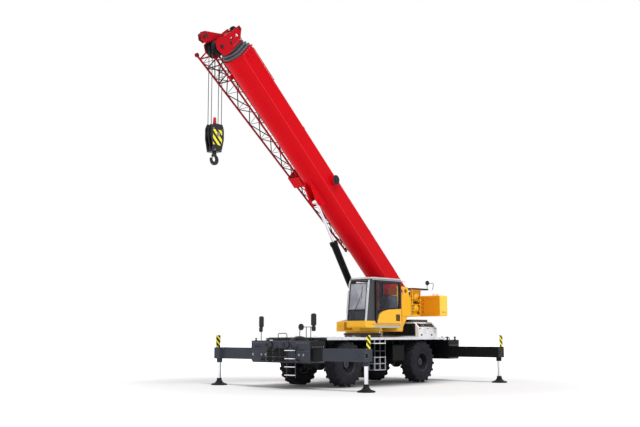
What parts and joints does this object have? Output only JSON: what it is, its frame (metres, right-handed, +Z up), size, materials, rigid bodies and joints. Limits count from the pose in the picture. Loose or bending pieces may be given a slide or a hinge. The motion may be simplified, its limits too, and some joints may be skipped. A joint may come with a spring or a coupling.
{
  "type": "mobile crane",
  "caption": "Two-axle rough-terrain mobile crane on extended outriggers, with a raised telescopic boom, stowed lattice jib, cab, winches and hook block.",
  "frame": {"origin": "on the ground under the slewing axis, which is also the centre of the four outrigger floats", "axes": "+X towards the front of the carrier and the way the boom points, +Y to the crane's left, where the cab is, +Z up"},
  "size_m": [12.3353, 7.0798, 11.529],
  "materials": {
    "chassis_paint": "semi-matt charcoal enamel",
    "deck_paint": "white enamel",
    "yellow_paint": "gloss yellow enamel",
    "amber_paint": "gloss amber enamel",
    "red_paint": "gloss red enamel",
    "section_grey": "grey enamel",
    "black_paint": "semi-gloss black enamel",
    "light_paint": "light grey enamel",
    "bare_metal": "bare aluminium",
    "rod_chrome": "hard chrome",
    "cast": "dark casting",
    "steel": "machined steel",
    "tyre_rubber": "black rubber",
    "pane": "tinted glass",
    "trim": "dark trim"
  },
  "bodies": {
    "chassis": {"chassis_frame": "chassis_paint", "deck": "deck_paint", "front_outrigger_box": "chassis_paint", "rear_outrigger_box": "chassis_paint", "front_axle": "cast", "rear_axle": "cast", "engine_hood": "deck_paint", "engine": "cast", "ladders": "bare_metal", "side_tanks": "chassis_paint", "mirrors": "black_paint", "slew_ring": "steel"},
    "superstructure": {"turntable": "yellow_paint", "hydraulic_tank": "yellow_paint", "cab_body": "yellow_paint", "cab_frame": "light_paint", "cab_glass": "pane", "cab_seat": "trim", "counterweight": "amber_paint", "winch_frame": "yellow_paint"},
    "sliding_door": {"cab_door": "yellow_paint", "door_glass": "pane"},
    "main_winch_drum": {"main_winch": "steel"},
    "aux_winch_drum": {"aux_winch": "steel"},
    "boom": {"boom_base": "red_paint", "jib": "red_paint", "luff_rod": "rod_chrome"},
    "boom_second": {"boom_section_2": "section_grey"},
    "boom_third": {"boom_section_3": "section_grey"},
    "boom_head": {"boom_section_4": "red_paint", "head_sheaves": "black_paint"},
    "luff_cylinder": {"luff_barrel": "black_paint"},
    "hoist": {"hoist_ropes": "steel", "hook_block": "black_paint"},
    "load_hook": {"hook": "cast"},
    "steer_front_left": {"knuckle_front_left": "cast"},
    "wheel_front_left": {"rim_front_left": "chassis_paint", "tyre_front_left": "tyre_rubber"},
    "beam_front_left": {"outrigger_beam_front_left": "chassis_paint"},
    "jack_front_left": {"outrigger_jack_front_left": "rod_chrome"},
    "steer_front_right": {"knuckle_front_right": "cast"},
    "wheel_front_right": {"rim_front_right": "chassis_paint", "tyre_front_right": "tyre_rubber"},
    "beam_front_right": {"outrigger_beam_front_right": "chassis_paint"},
    "jack_front_right": {"outrigger_jack_front_right": "rod_chrome"},
    "steer_rear_left": {"knuckle_rear_left": "cast"},
    "wheel_rear_left": {"rim_rear_left": "chassis_paint", "tyre_rear_left": "tyre_rubber"},
    "beam_rear_left": {"outrigger_beam_rear_left": "chassis_paint"},
    "jack_rear_left": {"outrigger_jack_rear_left": "rod_chrome"},
    "steer_rear_right": {"knuckle_rear_right": "cast"},
    "wheel_rear_right": {"rim_rear_right": "chassis_paint", "tyre_rear_right": "tyre_rubber"},
    "beam_rear_right": {"outrigger_beam_rear_right": "chassis_paint"},
    "jack_rear_right": {"outrigger_jack_rear_right": "rod_chrome"}
  },
  "joints": [
    {"name": "steer_front_left", "type": "hinge", "parent": "chassis", "child": "steer_front_left", "pos_m": [2.28, 0.7, 0.765], "axis": [0, 0, 1], "range_deg": [-24, 24]},
    {"name": "spin_front_left", "type": "hinge", "parent": "steer_front_left", "child": "wheel_front_left", "pos_m": [2.28, 1, 0.765], "axis": [0, 1, 0], "continuous": true},
    {"name": "extend_front_left", "type": "slide", "parent": "chassis", "child": "beam_front_left", "axis": [0, 1, 0], "range_m": [-1.65, 0]},
    {"name": "jack_front_left", "type": "slide", "parent": "beam_front_left", "child": "jack_front_left", "axis": [0, 0, 1], "range_m": [0, 0.44]},
    {"name": "steer_front_right", "type": "hinge", "parent": "chassis", "child": "steer_front_right", "pos_m": [2.28, -0.7, 0.765], "axis": [0, 0, 1], "range_deg": [-24, 24]},
    {"name": "spin_front_right", "type": "hinge", "parent": "steer_front_right", "child": "wheel_front_right", "pos_m": [2.28, -1, 0.765], "axis": [0, 1, 0], "continuous": true},
    {"name": "extend_front_right", "type": "slide", "parent": "chassis", "child": "beam_front_right", "axis": [0, -1, 0], "range_m": [-1.65, 0]},
    {"name": "jack_front_right", "type": "slide", "parent": "beam_front_right", "child": "jack_front_right", "axis": [0, 0, 1], "range_m": [0, 0.44]},
    {"name": "steer_rear_left", "type": "hinge", "parent": "chassis", "child": "steer_rear_left", "pos_m": [-1.95, 0.7, 0.765], "axis": [0, 0, 1], "range_deg": [-24, 24]},
    {"name": "spin_rear_left", "type": "hinge", "parent": "steer_rear_left", "child": "wheel_rear_left", "pos_m": [-1.95, 1, 0.765], "axis": [0, 1, 0], "continuous": true},
    {"name": "extend_rear_left", "type": "slide", "parent": "chassis", "child": "beam_rear_left", "axis": [0, 1, 0], "range_m": [-1.65, 0]},
    {"name": "jack_rear_left", "type": "slide", "parent": "beam_rear_left", "child": "jack_rear_left", "axis": [0, 0, 1], "range_m": [0, 0.44]},
    {"name": "steer_rear_right", "type": "hinge", "parent": "chassis", "child": "steer_rear_right", "pos_m": [-1.95, -0.7, 0.765], "axis": [0, 0, 1], "range_deg": [-24, 24]},
    {"name": "spin_rear_right", "type": "hinge", "parent": "steer_rear_right", "child": "wheel_rear_right", "pos_m": [-1.95, -1, 0.765], "axis": [0, 1, 0], "continuous": true},
    {"name": "extend_rear_right", "type": "slide", "parent": "chassis", "child": "beam_rear_right", "axis": [0, -1, 0], "range_m": [-1.65, 0]},
    {"name": "jack_rear_right", "type": "slide", "parent": "beam_rear_right", "child": "jack_rear_right", "axis": [0, 0, 1], "range_m": [0, 0.44]},
    {"name": "slew", "type": "hinge", "parent": "chassis", "child": "superstructure", "pos_m": [0, 0, 1.82], "axis": [0, 0, 1], "continuous": true},
    {"name": "door_slide", "type": "slide", "parent": "superstructure", "child": "sliding_door", "axis": [-1, 0, 0], "range_m": [0, 0.9]},
    {"name": "main_winch_turn", "type": "hinge", "parent": "superstructure", "child": "main_winch_drum", "pos_m": [-2.62, 0, 2.72], "axis": [0, 1, 0], "continuous": true},
    {"name": "aux_winch_turn", "type": "hinge", "parent": "superstructure", "child": "aux_winch_drum", "pos_m": [-2.62, 0, 3.18], "axis": [0, 1, 0], "continuous": true},
    {"name": "luff", "type": "hinge", "parent": "superstructure", "child": "boom", "pos_m": [-1.618, 0, 3.339], "axis": [0, -1, 0], "range_deg": [-42, 36]},
    {"name": "luff_cylinder_slide", "type": "slide", "parent": "boom", "child": "luff_cylinder", "axis": [-0.55, 0, -0.8351], "range_m": [-1.2416, 1.0656]},
    {"name": "telescope", "type": "slide", "parent": "boom", "child": "boom_second", "axis": [0.7422, 0, 0.6702], "range_m": [0, 6.9]},
    {"name": "telescope_third", "type": "slide", "parent": "boom_second", "child": "boom_third", "axis": [0.7422, 0, 0.6702], "range_m": [0, 6.9]},
    {"name": "telescope_fourth", "type": "slide", "parent": "boom_third", "child": "boom_head", "axis": [0.7422, 0, 0.6702], "range_m": [0, 6.9]},
    {"name": "falls_hang", "type": "hinge", "parent": "boom_head", "child": "hoist", "pos_m": [7.27152, 0, 10.63137], "axis": [0, -1, 0], "range_deg": [-36.5, 42.5]},
    {"name": "hook_swivel", "type": "hinge", "parent": "hoist", "child": "load_hook", "pos_m": [7.27152, 0, 7.2], "axis": [0, 0, 1], "continuous": true}
  ],
  "couplings": [
    {"joint": "steer_front_right", "follows": "steer_front_left", "ratio": 1},
    {"joint": "steer_rear_right", "follows": "steer_rear_left", "ratio": 1},
    {"joint": "luff_cylinder_slide", "follows": "luff", "m_per_rad": 1.6801},
    {"joint": "telescope_third", "follows": "telescope", "ratio": 1},
    {"joint": "telescope_fourth", "follows": "telescope", "ratio": 1},
    {"joint": "falls_hang", "follows": "luff", "ratio": -1}
  ]
}
